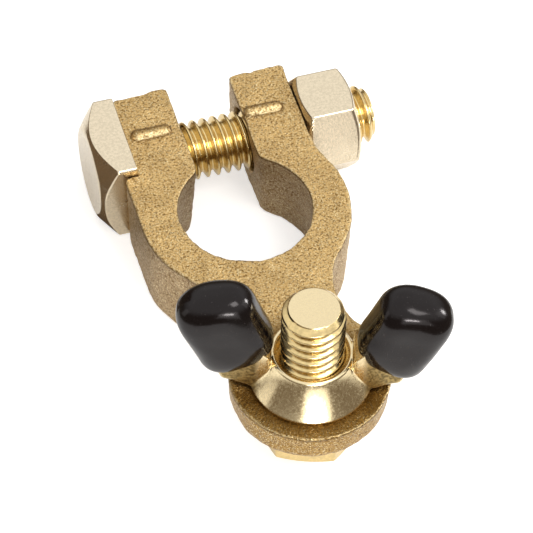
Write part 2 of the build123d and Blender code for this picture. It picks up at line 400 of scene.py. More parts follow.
def wing_nut_field(x, y, z, w, f):
    """Wing nut in its own frame: a flared cone with a countersunk collar, webs out from it, and the wings.

    The cone's radius is collar + (base - collar) * (1 - height share)^curve. A web is a plate that thickens
    inwards, between the edges of its outline.
    """
    curve, crisp, soft_corner = 1.25, 0.3, 0.35
    radial = np.hypot(x, y)
    share = np.clip((z - w.base_rim) / (w.collar_height - w.base_rim), 0, 1)
    flare = w.collar_radius + (w.base_radius - w.collar_radius) * (1 - share) ** curve
    slope = math.cos(math.atan2(w.base_radius - w.collar_radius, w.collar_height))
    cone = cut((radial - flare) * slope, z - w.collar_height, soft_corner)
    web_start, foot, rise = 4.6, 0.3, 3.2
    (ix, iz), (ox, oz) = CAP_OUTLINE[:2]
    outline = (
        (web_start, foot),
        (w.base_radius, foot),
        (ox - w.cap_wall, oz),
        (ox, oz + rise),
        (ix + w.cap_wall, iz + rise),
    )
    thick_from, thick_reach, thicker = 9.5, 4, 0.10
    thickness = w.wing_thickness * (1 + thicker * np.clip(thick_from - np.abs(x), 0, thick_reach))
    web = np.abs(y) - thickness / 2
    for edge in edges(np.abs(x), z, outline):
        web = cut(web, edge, crisp)
    wing = paddle_field(np.abs(x), y, z, w, 1, w.cap_wall)
    wing_blend, cone_blend, bore_corner, sink_slope = 0.4, 0.28, 0.15, 0.7
    nut = join(cone, join(web, wing, wing_blend), cone_blend)
    nut = cut(nut, -z, crisp)
    bore = radial - nut_thread_radius(z, np.arctan2(y, x) + w.wing_turn, f)
    sink = (radial - w.countersink + (w.collar_height - z)) * sink_slope
    return cut(nut, -np.minimum(bore, sink), bore_corner)


def cap_field(x, y, z, w, f, side):
    """A wing's dipped cap: the paddle, a little uneven, less the wing nut inside it.

    The right one is moved out by its shift, and the left one is spread about its middle line.
    """
    foot, lean = 8.0, 0.34  # the middle line's distance from the stud, and how much it grows with height
    dip_loss, unevenness, waves_long, fit, lip = 0.04, 0.025, 6.0, 0.02, 0.3
    middle = side * (foot + lean * z)
    paddle_x = x - w.right_shift if side > 0 else middle + (x - middle) / w.left_spread
    outer = paddle_field(paddle_x, y, z, w, side, 0.0) + dip_loss
    outer = outer + unevenness * ripple(x, y, z, waves_long, seed=11 + side, waves=8)
    return cut(outer, -(wing_nut_field(x, y, z, w, f) - fit), lip)


# ---- Meshes ----


def surface_net(field, low, step):
    """Quads where a grid's values cross zero.

    Each cell with a crossing gets one point, the mean of the crossings on its edges, and each grid line that
    crosses gets one quad that joins the four cells round it, turned to face the positive side.
    """
    inside = field < 0
    cells = np.array(field.shape) - 1
    total = np.zeros((*cells, 3))
    count = np.zeros(cells)
    crossings = []
    for axis in range(3):
        first = [slice(None)] * 3
        second = [slice(None)] * 3
        first[axis], second[axis] = slice(0, -1), slice(1, None)
        a, b = field[tuple(first)], field[tuple(second)]
        crossed = inside[tuple(first)] != inside[tuple(second)]
        share = np.where(crossed, a / np.where(crossed, a - b, 1), 0)
        crossings.append((crossed, inside[tuple(first)]))
        u, v = [k for k in range(3) if k != axis]
        for du in (0, 1):
            for dv in (0, 1):
                part = [slice(None)] * 3
                part[u], part[v] = slice(du, cells[u] + du), slice(dv, cells[v] + dv)
                hit = crossed[tuple(part)]
                count += hit
                total[..., axis] += share[tuple(part)]
                total[..., u] += du * hit
                total[..., v] += dv * hit
    used = count > 0
    index = np.full(cells, -1)
    index[used] = np.arange(used.sum())
    points = low + step * (np.argwhere(used) + total[used] / count[used][:, None])
    quads = []
    for axis, (crossed, starts_inside) in enumerate(crossings):
        u, v = (axis + 1) % 3, (axis + 2) % 3
        found = np.argwhere(crossed)
        keep = (found[:, (u, v)] > 0).all(1) & (found[:, (u, v)] < cells[[u, v]]).all(1)
        found = found[keep]
        ring = []
        for du, dv in ((-1, -1), (0, -1), (0, 0), (-1, 0)):
            cell = found.copy()
            cell[:, u] += du
            cell[:, v] += dv
            ring.append(index[tuple(cell.T)])
        ring = np.stack(ring, -1)
        outwards = starts_inside[tuple(found.T)]
        quads.append(np.where(outwards[:, None], ring, ring[:, ::-1]))
    return points, np.concatenate(quads)


def slope_of(field, points, reach):
    """A field's value, slope and bend at points, from its values at reach to each side.

    The bend is the Laplacian: the sum of the six values, less six times the middle one, over reach squared.
    """
    here = field(*points.T)
    slopes, bend = [], -6 * here
    for axis in range(3):
        offset = np.zeros(3)
        offset[axis] = reach
        more, less = field(*(points + offset).T), field(*(points - offset).T)
        slopes.append((more - less) / (2 * reach))
        bend = bend + more + less
    return here, np.stack(slopes, -1), bend / reach**2


def net_mesh(name, field, low, high, step, place=np.eye(4)):
    """The mesh of a field's zero surface, its points moved onto it along the slope, and its normals."""
    margin, near, wide, least_slope, longest_move = 1.37, 0.02, 0.05, 0.2, 0.4 * step
    start = np.array(low) - margin * step
    axes = [np.arange(a, b + 2 * step, step) for a, b in zip(start, high)]
    points, quads = surface_net(field(*np.meshgrid(*axes, indexing="ij", sparse=True)), start, step)
    here, slope, _ = slope_of(field, points, near)
    steepness = np.maximum((slope**2).sum(1), least_slope)
    move = slope * (here / steepness)[:, None]
    points -= np.clip(move, -longest_move, longest_move)
    _, slope, _ = slope_of(field, points, wide)
    normals = slope / np.linalg.norm(slope, axis=1)[:, None]
    turned = points @ place[:3, :3].T + place[:3, 3]
    mesh = bpy.data.meshes.new(name)
    mesh.from_pydata(turned / MM, [], quads)
    mesh.validate()
    mesh.polygons.foreach_set("use_smooth", np.ones(len(mesh.polygons), bool))
    mesh.normals_split_custom_set_from_vertices(normals @ place[:3, :3].T)
    return mesh, points, normals


def grid_mesh(name, rows, finishes):
    """The mesh of a grid of points, rows by columns. Its seam and poles close where points meet.

    finishes holds the material slot of each strip between two rows.
    """
    count, columns, _ = rows.shape
    index = np.arange(count * columns).reshape(count, columns)
    quads = np.stack([index[:-1, :-1], index[1:, :-1], index[1:, 1:], index[:-1, 1:]], -1)
    quads = quads.reshape(-1, 4)
    points = rows.reshape(-1, 3)
    a, b, c, d = (points[quads[:, k]] for k in range(4))
    middle = points.mean(0)
    volume = np.einsum("ij,ij->", (a + b + c + d) / 4 - middle, np.cross(c - a, d - b))
    if volume < 0:
        quads = quads[:, ::-1]
    mesh = bpy.data.meshes.new(name)
    mesh.from_pydata(points / MM, [], quads)
    mesh.polygons.foreach_set("material_index", np.repeat(finishes, columns - 1))
    same_place, no_length = 1.5e-6, 1e-7  # metres
    work = bmesh.new()
    work.from_mesh(mesh)
    bmesh.ops.remove_doubles(work, verts=work.verts, dist=same_place)
    bmesh.ops.dissolve_degenerate(work, edges=work.edges, dist=no_length)
    work.to_mesh(mesh)
    work.free()
    mesh.polygons.foreach_set("use_smooth", np.ones(len(mesh.polygons), bool))
    return mesh


def add_piece(name, mesh, body, replaced, materials):
    """Puts a finished mesh in the scene, on its body, in place of its CAD node."""
    piece = bpy.data.objects.new(name, mesh)
    bpy.context.scene.collection.objects.link(piece)
    for material in materials:
        mesh.materials.append(material)
    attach(piece, body)
    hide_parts(replaced)
    return piece


def add_attribute(mesh, name, data):
    mesh.attributes.new(name, "FLOAT", "POINT").data.foreach_set("value", np.asarray(data, np.float32))


# ---- Turned and threaded pieces: a section of (axial, radius) points at each column round an axis ----


def prism_columns(sides, apothem, corner, turn):
    """Angles round a prism, closer at its corners, and its radius at each.

    On a flat the radius is apothem / cos(angle from the flat's middle). At a corner the ray meets its circle:
    centre * cos(a) + sqrt(corner^2 - (centre * sin(a))^2).
    """
    half = math.pi / sides
    centre = (apothem - corner) / math.cos(half)
    edge = math.atan2((apothem - corner) * math.tan(half), apothem)
    on_flat, on_bend, beside = 13, 8, 0.02
    flat = np.linspace(-edge, edge, on_flat)
    held = np.array([-edge + beside, edge - beside])
    bend = np.linspace(edge, 2 * half - edge, on_bend)[1:-1]
    one_side = np.sort(np.concatenate([flat, held, bend]))
    angles = (turn + 2 * half * np.arange(sides)[:, None] + one_side).ravel()
    angles = np.append(angles, angles[0] + TURN)
    off = np.abs((angles - turn + half) % (2 * half) - half)
    ray = half - off
    rise = np.sqrt(np.maximum(corner**2 - (centre * np.sin(ray)) ** 2, 0))
    is_flat = off <= edge + 1e-9
    return angles, np.where(is_flat, apothem / np.cos(off), centre * np.cos(ray) + rise)


def rounded_rows(corners, cuts, steps=4, hold=0.1):
    """Rows of a section with its corners rounded.

    Each corner C with a cut becomes the curve (1-t)^2 A + 2t(1-t) C + t^2 B, from the cut A before it to the
    cut B after it. One more row at hold beyond each end keeps the flats beside it flat.
    """
    longest_cut, longest_hold = 0.4, 0.49  # shares of the distance to the next corner
    rows = [corners[0][None]]
    for before, here, after, size in zip(corners, corners[1:], corners[2:], cuts):
        ends = []
        for other in (before, after):
            gap = np.linalg.norm(other - here, axis=-1, keepdims=True)
            way = (other - here) / np.maximum(gap, 1e-9)
            reach = np.minimum(size, longest_cut * gap)
            held = np.minimum(reach + hold, longest_hold * gap)
            ends.append((here + way * reach, here + way * held))
        (a, a_held), (b, b_held) = ends
        t = np.linspace(0, 1, steps + 1)[:, None, None]
        curve = (1 - t) ** 2 * a + 2 * t * (1 - t) * here + t**2 * b
        rows.append(np.concatenate([a_held[None], curve, b_held[None]]))
    rows.append(corners[-1][None])
    return np.concatenate(rows)


def thread_rows(low, high, angles, radius, per_pitch=14):
    """Rows that climb with the thread: low + pitch * (i / per_pitch + turn - 1), kept from low to high."""
    count = int((high - low) / PITCH * per_pitch) + per_pitch + 2
    climb = np.arange(count)[:, None] / per_pitch + (angles - angles[0]) / TURN - 1
    axial = np.clip(low + PITCH * climb, low, high)
    return np.stack([axial, radius(axial, angles)], -1)


def level(axial, radius, like):
    """One corner of a section, the same all round or given for each column."""
    return np.stack([np.broadcast_to(axial, like.shape), np.broadcast_to(radius, like.shape)], -1)


def around_x(section, angles):
    """Section turned round the pinch bolt's axis, with angles from +Y towards +Z."""
    axial, radius = section[..., 0], section[..., 1]
    return np.stack([axial, PINCH_Y + radius * np.cos(angles), PINCH_Z + radius * np.sin(angles)], -1)


def around_z(section, angles):
    """Section turned round the stud's axis, with angles from +X towards +Y."""
    axial, radius = section[..., 0], section[..., 1]
    return np.stack([radius * np.cos(angles), STUD_Y + radius * np.sin(angles), axial], -1)


def headed_bolt(end, seat, face, angles, wall, face_radius, chamfer, f):
    """Section of a bolt from the middle of its end, down its thread and round its head to the face's middle.

    The chamfer's height at a column is (wall - face radius) * tan(chamfer).
    """
    face_ring = 0.4  # a row on the head's face, as a share of its radius
    roundings = (0.2, 0.15, 0.4, 0.1)  # under the head, wall to chamfer, chamfer to face, face ring
    down = math.copysign(1.0, face - seat)
    tip = THREAD_RADIUS - f.end_chamfer

    def radius(axial, around):
        return np.minimum(thread_radius(axial, around, f), tip + np.abs(end - axial))

    thread = thread_rows(seat, end, angles, radius)[::-1]
    start = thread[0, :, 1]
    tip_rows = np.stack([level(end, share * start, wall) for share in TIP_SHARES])
    drop = down * np.maximum(wall - face_radius, 0) * math.tan(chamfer)
    head = rounded_rows(
        np.stack([
            level(seat, THREAD_RADIUS, wall),
            level(seat, wall, wall),
            level(face - drop, wall, wall),
            level(face, np.minimum(face_radius, wall), wall),
            level(face, face_ring * face_radius, wall),
            level(face, 0.0, wall),
        ]),
        roundings,
    )
    rows = np.concatenate([tip_rows, thread, head])
    threaded = len(tip_rows) + len(thread)
    return rows, np.where(np.arange(len(rows) - 1) < threaded, 1, 0)


# ---- Materials ----
# A Map Range's inputs in order are its value, from low, from high, to low and to high.


def add_node(tree, kind, inputs, output=0, **settings):
    """Adds a shader node with its settings, sets or links its inputs, and gives one of its outputs.

    The inputs are a list in the node's own order, or a dictionary by name or number.
    """
    node = tree.nodes.new("ShaderNode" + kind)
    for key, value in settings.items():
        setattr(node, key, value)
    for key, value in inputs.items() if isinstance(inputs, dict) else enumerate(inputs):
        socket = node.inputs[key]
        if isinstance(value, bpy.types.NodeSocket):
            tree.links.new(value, socket)
        else:
            socket.default_value = (*value, 1.0) if socket.type == "RGBA" else value
    return node.outputs[output] if node.outputs else None


def mix(add, share, first, second):
    """A colour between two. A colour Mix has them in its inputs 6 and 7, and gives its output 2."""
    return add("Mix", {0: share, 6: first, 7: second}, output=2, data_type="RGBA")


def noise(add, vector, size_mm, detail, rough):
    """Cloudy noise, with spots of about that size."""
    return add("TexNoise", {"Vector": vector, "Scale": MM / size_mm, "Detail": detail, "Roughness": rough})


def new_material(name):
    """An empty material, the function that adds nodes to it, and its piece's own coordinates, in metres."""
    material = bpy.data.materials.new(name)
    material.use_nodes = True
    material.node_tree.nodes.clear()
    add = partial(add_node, material.node_tree)
    return material, add, add("TexCoord", [], "Object")


def set_surface(material, add, look):
    """Gives a material a Principled shader with those inputs, and returns the material."""
    add("OutputMaterial", {"Surface": add("BsdfPrincipled", look)})
    return material


def set_brass(material, add, skin, rough, relief):
    """Gives a material a bare metal surface, and returns the material."""
    look = {"Base Color": skin, "Roughness": rough, "Metallic": 1.0, "Normal": relief}
    return set_surface(material, add, look)


def shaded(rgb, share):
    """A colour made darker by that share."""
    return [share * v for v in rgb]


def sand_cast_brass(c):
    """Sand-cast brass, as cast: sand grains of 0.2 to 0.3 mm leave a matte, sparkling, speckled skin."""
    material, add, place = new_material("sand_cast_brass")
    grain_mm, fine_mm, patch_mm, relief_mm = 0.32, 0.17, 5.0, 0.13
    grain = noise(add, place, grain_mm, 2.5, 0.6)
    fine = noise(add, place, fine_mm, 2.0, 0.5)
    cloud = noise(add, place, patch_mm, 3.0, 0.55)
    names = ("wall", "pad", "edge", "hollow", "rim", "shade")
    wall, pad, edge, hollow, rim, shade = (add("Attribute", [], "Fac", attribute_name=n) for n in names)

    # ground tone, dark and bright grains, edge wear and painted highlight, dull patches, darker hollows and
    # painted shade
    # Painted tone on the upright walls, for the light they reflect.
    skin = mix(add, wall, c.cast_brass, c.cast_wall)
    skin = mix(add, pad, skin, c.cast_pad)
    dark = add("MapRange", [grain, 0.36, 0.52, 0.85, 0.0])
    skin = mix(add, dark, skin, c.cast_shade)
    bright = add("MapRange", [fine, 0.55, 0.66, 0.0, 0.75])
    skin = mix(add, bright, skin, c.cast_light)
    # Edge wear, plus the painted highlight on the ribs' front slopes, in the bright grains' colour.
    speckled = add("MapRange", [grain, 0.4, 0.6, 0.1, 0.7])
    wear_and_highlight = add("Math", [edge, speckled], operation="MULTIPLY")
    skin = mix(add, wear_and_highlight, skin, c.cast_light)
    dull = add("MapRange", [cloud, 0.35, 0.65, 0.22, 0.0])
    skin = mix(add, dull, skin, c.cast_shade)
    # Darker concave hollows, and painted shade: along the top edge, down the bore, round the wing nut and on
    # the ribs' backs.
    hollows_and_painted_shade = add("Math", [hollow, rim], operation="MAXIMUM")
    hollows_and_painted_shade = add("Math", [hollows_and_painted_shade, shade], operation="MAXIMUM")
    hollows_and_painted_shade = add("Math", [hollows_and_painted_shade, 0.8], operation="MULTIPLY")
    skin = mix(add, hollows_and_painted_shade, skin, shaded(c.cast_shade, 0.7))

    rough = add("MapRange", [fine, 0.35, 0.68, 0.62, 0.36])
    rubbed = add("Math", [pad, 0.16], operation="MULTIPLY")
    rough = add("Math", [rough, rubbed], operation="SUBTRACT")
    half_fine = add("Math", [fine, 0.5], operation="MULTIPLY")
    height = add("Math", [grain, half_fine], operation="ADD")
    relief = add("Bump", {"Height": height, "Distance": relief_mm / MM, "Strength": 0.85})
    return set_brass(material, add, skin, rough, relief)


def tumbled_brass(c):
    """Brass bar, cold-headed and tumbled: pale, satin, with a fine dull speckle from the tumbling stones."""
    material, add, place = new_material("tumbled_brass")
    speckle_mm, smudge_mm, scuff_mm, relief_mm = 0.35, 3.0, 0.5, 0.009
    along_bar = add("Mapping", {"Vector": place, "Scale": (0.25, 1.0, 1.0)})
    speckle = noise(add, place, speckle_mm, 3.0, 0.6)
    smudge = noise(add, place, smudge_mm, 3.0, 0.55)
    scuff = noise(add, along_bar, scuff_mm, 2.0, 0.5)
    dull = add("MapRange", [speckle, 0.38, 0.6, 0.5, 0.0])
    skin = mix(add, dull, c.bolt_brass, shaded(c.bolt_brass, 0.74))
    smudged = add("MapRange", [smudge, 0.35, 0.7, 0.13, 0.22])
    pitted = add("MapRange", [speckle, 0.4, 0.65, 0.08, 0.0])
    rough = add("Math", [smudged, pitted], operation="ADD")
    scuffed = add("Math", [scuff, 0.6], operation="MULTIPLY")
    height = add("Math", [speckle, scuffed], operation="ADD")
    relief = add("Bump", {"Height": height, "Distance": relief_mm / MM, "Strength": 0.5})
    return set_brass(material, add, skin, rough, relief)


def rolled_thread_brass(c):
    """Brass thread, rolled: burnished, richer in colour, with faint marks from the rolls."""
    material, add, place = new_material("rolled_thread_brass")
    mark_mm, relief_mm = 0.5, 0.015
    marks = noise(add, place, mark_mm, 3.0, 0.55)
    clean = add("MapRange", [marks, 0.35, 0.65])
    skin = mix(add, clean, shaded(c.thread_brass, 0.82), c.thread_brass)
    rough = add("MapRange", [marks, 0.3, 0.7, 0.14, 0.26])
    relief = add("Bump", {"Height": marks, "Distance": relief_mm / MM, "Strength": 0.5})
    return set_brass(material, add, skin, rough, relief)


def polished_brass(c):
    """Pressed and polished brass: glossy yellow, slightly wavy, softly smudged, with duller webs."""
    material, add, place = new_material("polished_brass")
    wave_mm, fine_mm, grain_mm = 2.2, 0.3, 0.4
    wave = noise(add, place, wave_mm, 1.0, 0.55)
    fine = noise(add, place, fine_mm, 3.0, 0.55)
    grain = noise(add, place, grain_mm, 3.0, 0.6)
    pressed = add("Attribute", [], "Fac", attribute_name="pressed")
    smudged = add("MapRange", [fine, 0.4, 0.7, 0.0, 0.25])
    skin = mix(add, smudged, c.bright_brass, shaded(c.bright_brass, 0.8))
    clean = add("MapRange", [grain, 0.4, 0.6])
    web = mix(add, clean, shaded(c.web_brass, 0.45), c.web_brass)
    skin = mix(add, pressed, skin, web)
    gloss = add("MapRange", [fine, 0.35, 0.7, 0.16, 0.3])
    matte = add("Math", [pressed, 0.2], operation="MULTIPLY")
    rough = add("Math", [gloss, matte], operation="ADD")
    web_grain = add("Math", [grain, pressed], operation="MULTIPLY")
    relief = add("Bump", {"Height": wave, "Distance": 0.05 / MM, "Strength": 0.6})
    relief = add("Bump", {"Height": web_grain, "Distance": 0.12 / MM, "Strength": 0.8, "Normal": relief})
    relief = add("Bump", {"Height": fine, "Distance": 0.008 / MM, "Strength": 0.6, "Normal": relief})
    return set_brass(material, add, skin, rough, relief)


def dipped_vinyl(c):
    """Black plastisol vinyl, dipped and cured: a thick wet gloss with slow waves and dust specks."""
    material, add, place = new_material("dipped_vinyl")
    wave_mm, dust_mm = 3.0, 0.25
    wave = noise(add, place, wave_mm, 1.5, 0.55)
    dust = noise(add, place, dust_mm, 2.0, 0.55)
    specks = add("MapRange", [dust, 0.68, 0.76, 0.0, 0.35])
    relief = add("Bump", {"Height": wave, "Distance": 0.12 / MM, "Strength": 0.5})
    look = {
        "Base Color": mix(add, specks, c.vinyl, c.dust),
        "Roughness": add("MapRange", [wave, 0.35, 0.7, 0.12, 0.22]),
        "Normal": add("Bump", {"Height": dust, "Distance": 0.006 / MM, "Strength": 0.5, "Normal": relief}),
        "IOR": 1.53,
        "Specular IOR Level": 0.26,
        "Specular Tint": (1.0, 0.93, 0.92),
    }
    return set_surface(material, add, look)


def studio_paper(c):
    """Matte pale paper. Seen straight it glows, as over a light table, which keeps the shadow faint."""
    material, add, place = new_material("studio_paper")
    fibre_mm, glow, seen_glow = 1.5, 0.18, 0.55
    fibre = noise(add, place, fibre_mm, 3.0, 0.55)
    share = add("MapRange", [fibre, 0.3, 0.7])
    seen = add("LightPath", [], "Is Camera Ray")
    look = {
        "Base Color": mix(add, share, c.floor, shaded(c.floor, 0.985)),
        "Roughness": 0.85,
        "Emission Color": (1.0, 1.0, 1.0),
        "Emission Strength": add("MapRange", [seen, 0.0, 1.0, glow, seen_glow]),
    }
    return set_surface(material, add, look)


def brown_card(c):
    """Matte brown card, for the dark warm band that polished brass shows."""
    material, add, place = new_material("brown_card")
    fibre_mm = 1.0
    fibre = noise(add, place, fibre_mm, 3.0, 0.55)
    tone = mix(add, fibre, c.card, c.card_fibre)
    return set_surface(material, add, {"Base Color": tone, "Roughness": 1.0})


# ---- Operators ----


def settings(context):
    """The sizes of the casting, the fasteners and the wing nut, in millimetres, and the colours."""
    groups = (context.scene.clamp_casting, context.scene.clamp_fasteners, context.scene.clamp_wing_nut)
    return (*map(values, groups), context.scene.clamp_colours)


def casting_attributes(points, normals, bend, nut_radius):
    """Masks of the casting, about 0 to 1: wear with painted highlight, hollow, painted wall tone, rubbed,
    painted shade and dark rim.

    Each is a ramp, value * steepness - start, held between 0 and 1, or a bell, exp(-(distance / width)^2).
    """
    x, y, z = points.T
    _, back, up = normals.T
    on_rib = np.clip(z / 0.15 - 0.4, 0, 1)
    # Painted highlight: the ribs' front slopes are made bright, as if lit from the front.
    rib_front_highlight = on_rib * np.clip(-1.6 * back - 0.2, 0, 1)
    # Painted shade on the ribs' tops and back slopes, which face away from the light.
    rib_back_shade = on_rib * np.clip(0.3 + 0.9 * back, 0, 0.8)
    upright = np.clip(1.15 - 1.6 * up, 0, 1)
    leaning = np.clip(2.2 * (0.97 - up), 0, 1)
    on_pad = np.clip((-20 - y) / 5, 0, 1)
    rubbed = np.maximum(upright, np.clip((-23.5 - y) / 6, 0, 1))
    # Painted shade on the bore's wall, growing over the first 2 mm below the top face.
    bore_shade = np.clip(1.6 - (np.hypot(x, y) - BORE_RADIUS), 0, 1) * np.clip(-z / 2, 0, 1)
    # Painted shade on the upward faces round the wing nut's base, fading outwards.
    from_nut = np.clip(np.hypot(x, y - STUD_Y) - nut_radius, 0, None)
    shade_under_nut = 1.3 * np.exp(-from_nut / 1.8) * (up > 0.4)
    return {
        # edge: convex edges with wear, and the painted highlight on the ribs' front slopes.
        "edge": np.maximum(np.clip(bend / 3.0 - 0.55, 0, 1) * (1 - on_rib), rib_front_highlight),
        "hollow": np.clip(-bend / 2.0 - 0.15, 0, 1),
        # wall: the upright walls, which the material colours in a painted tone.
        "wall": upright * (1 - 0.9 * on_pad),
        "pad": on_pad * rubbed,
        # shade: painted shade in the bore, round the wing nut's base and on the ribs' backs.
        "shade": np.clip(np.maximum(np.maximum(0.35 * bore_shade, shade_under_nut), rib_back_shade), 0, 1.2),
        # rim: a painted dark line just below the top face's edge, on the leaning faces.
        "rim": leaning * np.exp(-(((z + 0.2) / 0.2) ** 2)),
    }


class CLAMP_OT_casting(bpy.types.Operator):
    """Makes the cast split ring with its ears, neck and stud pad"""

    bl_idname = "clamp.casting"
    bl_label = "Casting"

    def execute(self, context):
        s, _, w, c = settings(context)
        high, bend_reach = CASTING_HIGH + (0, 0.7, 0), 0.35

        def field(x, y, z):
            return casting_field(x, y, z, s)

        mesh, points, normals = net_mesh("casting", field, CASTING_LOW, high, s.cell)
        _, _, bend = slope_of(field, points, bend_reach)
        for name, data in casting_attributes(points, normals, bend, w.base_radius).items():
            add_attribute(mesh, name, data)
        add_piece("casting", mesh, "casting", "clamp_body", [sand_cast_brass(c)])
        return {"FINISHED"}


class CLAMP_OT_pinch_bolt(bpy.types.Operator):
    """Makes the square-head bolt through the ears"""

    bl_idname = "clamp.pinch_bolt"
    bl_label = "Pinch bolt"

    def execute(self, context):
        _, f, _, c = settings(context)
        apothem = (BOLT_HIGH[1] - BOLT_LOW[1]) / 2
        angles, wall = prism_columns(4, apothem, f.corner, 0.0)
        rows, finishes = headed_bolt(
            BOLT_HIGH[0], -PINCH_SEAT, BOLT_LOW[0], angles, wall, f.square_face, f.square_chamfer, f
        )
        mesh = grid_mesh("pinch_bolt", around_x(rows, angles), finishes)
        finish = [tumbled_brass(c), rolled_thread_brass(c)]
        add_piece("square_head_bolt", mesh, "pinch_bolt", "pinch_bolt", finish)
        return {"FINISHED"}


class CLAMP_OT_pinch_nut(bpy.types.Operator):
    """Makes the hex nut on the pinch bolt"""

    bl_idname = "clamp.pinch_nut"
    bl_label = "Pinch nut"

    def execute(self, context):
        _, f, _, c = settings(context)
        angles, wall = prism_columns(6, f.across_flats / 2, f.corner, f.nut_turn)
        low, high = NUT_LOW[0], NUT_HIGH[0]
        mouth_clearance, rounding, edge_rounding = 0.25, 0.45, 0.3
        mouth = THREAD_RADIUS + mouth_clearance

        def radius(axial, around):
            from_face = np.minimum(axial - low, high - axial)
            return np.maximum(nut_thread_radius(axial, around, f), mouth - from_face)

        drop = np.maximum(wall - f.hex_face, 0) * math.tan(f.hex_chamfer)
        face = np.minimum(f.hex_face, wall)
        outside = rounded_rows(
            np.stack([
                level(high, mouth, wall),
                level(high, face, wall),
                level(high - drop, wall, wall),
                level(low + drop, wall, wall),
                level(low, face, wall),
                level(low, mouth, wall),
            ]),
            (rounding, edge_rounding, edge_rounding, rounding),
        )
        thread = thread_rows(low, high, angles, radius)
        rows = np.concatenate([thread, outside])
        finishes = np.where(np.arange(len(rows) - 1) < len(thread), 1, 0)
        mesh = grid_mesh("pinch_nut", around_x(rows, angles), finishes)
        finish = [tumbled_brass(c), rolled_thread_brass(c)]
        add_piece("hex_nut", mesh, "pinch_nut", "pinch_nut", finish)
        return {"FINISHED"}


class CLAMP_OT_stud_bolt(bpy.types.Operator):
    """Makes the hex-head bolt that stands up through the pad"""

    bl_idname = "clamp.stud_bolt"
    bl_label = "Stud bolt"

    def execute(self, context):
        s, f, _, c = settings(context)
        angles, wall = prism_columns(6, f.across_flats / 2, f.corner, f.head_turn)
        rows, _ = headed_bolt(
            STUD_HIGH[2], -s.pad_thickness, STUD_LOW[2], angles, wall, f.hex_face, f.hex_chamfer, f
        )
        finishes = np.where(np.arange(len(rows) - 1) < len(TIP_SHARES), 0, 1)
        mesh = grid_mesh("stud_bolt", around_z(rows, angles), finishes)
        finish = [polished_brass(c), rolled_thread_brass(c)]
        add_piece("hex_head_stud", mesh, "stud", "stud_bolt", finish)
        return {"FINISHED"}


def wing_nut_place(w):
    """From the wing nut's own frame, wings along X, to its place on the pad."""
    turn, up = Matrix.Rotation(w.wing_turn, 4, "Z"), Matrix.Translation((0, STUD_Y, 0))
    return np.array(up @ turn)


class CLAMP_OT_wing_nut(bpy.types.Operator):
    """Makes the wing nut, with its wings inside the caps"""

    bl_idname = "clamp.wing_nut"
    bl_label = "Wing nut"

    def execute(self, context):
        _, f, w, c = settings(context)
        half_length, height = 17.2, 16.2
        low, high = (-half_length, -w.base_radius, 0.0), (half_length, w.base_radius, height)

        def field(x, y, z):
            return wing_nut_field(x, y, z, w, f)

        mesh, points, _ = net_mesh("wing_nut", field, low, high, w.cell, wing_nut_place(w))
        web_start, web_ramp, bend_reach = 6.2, 0.8, 0.3
        _, _, bend = slope_of(field, points, bend_reach)
        on_web = np.clip((np.abs(points[:, 0]) - web_start) / web_ramp, 0, 1)
        add_attribute(mesh, "pressed", on_web * (1 - np.clip(bend / 2.5 - 0.2, 0, 1)))
        add_piece("wing_nut_brass", mesh, "wing_nut", "wing_nut", [polished_brass(c)])
        return {"FINISHED"}


class CLAMP_OT_wing_caps(bpy.types.Operator):
    """Makes the two dipped vinyl caps"""

    bl_idname = "clamp.wing_caps"
    bl_label = "Wing caps"

    def execute(self, context):
        _, f, w, c = settings(context)
        material = dipped_vinyl(c)
        inner, outer, bottom, top = 3.8, 18.6, 1.2, 17.3
        for side, node in ((-1, "wing_cap_left"), (1, "wing_cap_right")):

            def field(x, y, z, side=side):
                return cap_field(x, y, z, w, f, side)

            reach = sorted((side * inner, side * outer))
            low = (reach[0], -w.cap_thickness / 2, bottom)
            high = (reach[1], w.cap_thickness / 2, top)
            mesh, _, _ = net_mesh(node, field, low, high, w.cell, wing_nut_place(w))
            add_piece(node + "_vinyl", mesh, "wing_nut", node, [material])
        return {"FINISHED"}


class CLAMP_OT_stage(bpy.types.Operator):
    """Makes the paper floor, the soft lights, the surround and the camera"""

    bl_idname = "clamp.stage"
    bl_label = "Stage"

    def execute(self, context):
        stage = context.scene.clamp_stage
        add_floor(context.scene.clamp_colours, stage.floor_radius)
        add_cards(context.scene.clamp_colours)
        add_lights(stage)
        add_surround(stage)
        add_camera(stage)
        context.scene.view_settings.view_transform = "Standard"
        return {"FINISHED"}


def add_floor(c, radius):
    """A round sheet of paper under the casting: radius * (cos a, sin a) for a round the full turn."""
    sides = 96
    around = np.linspace(0, TURN, sides + 1)[:-1]
    points = np.stack([radius * np.cos(around), radius * np.sin(around), np.full(sides, CAD_BOX[0].z)], -1)
    mesh = bpy.data.meshes.new("floor")
    mesh.from_pydata(points, [], [tuple(range(sides))])
    mesh.materials.append(studio_paper(c))
    floor = bpy.data.objects.new("floor", mesh)
    bpy.context.scene.collection.objects.link(floor)


